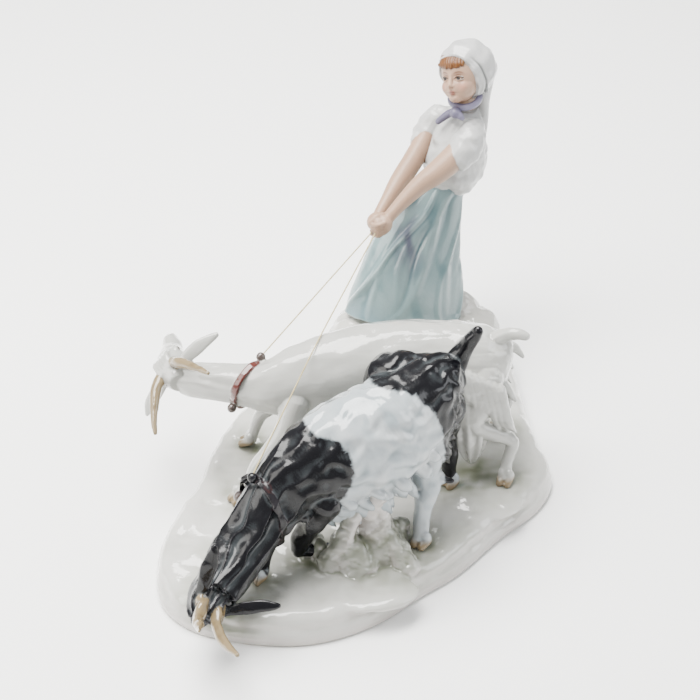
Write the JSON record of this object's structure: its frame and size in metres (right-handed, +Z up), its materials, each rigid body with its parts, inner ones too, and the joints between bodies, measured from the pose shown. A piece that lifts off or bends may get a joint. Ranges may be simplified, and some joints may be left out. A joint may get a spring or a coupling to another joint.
{
  "type": "porcelain shepherdess figurine",
  "caption": "Glazed porcelain group of a girl in a kerchief holding a white goat and a piebald goat on string leads, on a low rounded plinth.",
  "frame": {"origin": "centre of the bounding box on the underside of the plinth's foot rim, strings left out", "axes": "+Z up from the foot; +Y from the goats towards the girl, the long way of the plinth; +X to the right as seen from the goats' side"},
  "size_m": [0.2771, 0.4277, 0.2359],
  "materials": {
    "glazed_porcelain": "white hard-paste porcelain with underglaze colours under a clear glossy glaze",
    "twisted_string": "fine cream twisted cotton string, matt"
  },
  "bodies": {
    "root": {"porcelain_group": "glazed_porcelain", "lead_to_white_goat": "twisted_string", "lead_to_black_goat": "twisted_string"}
  },
  "joints": []
}
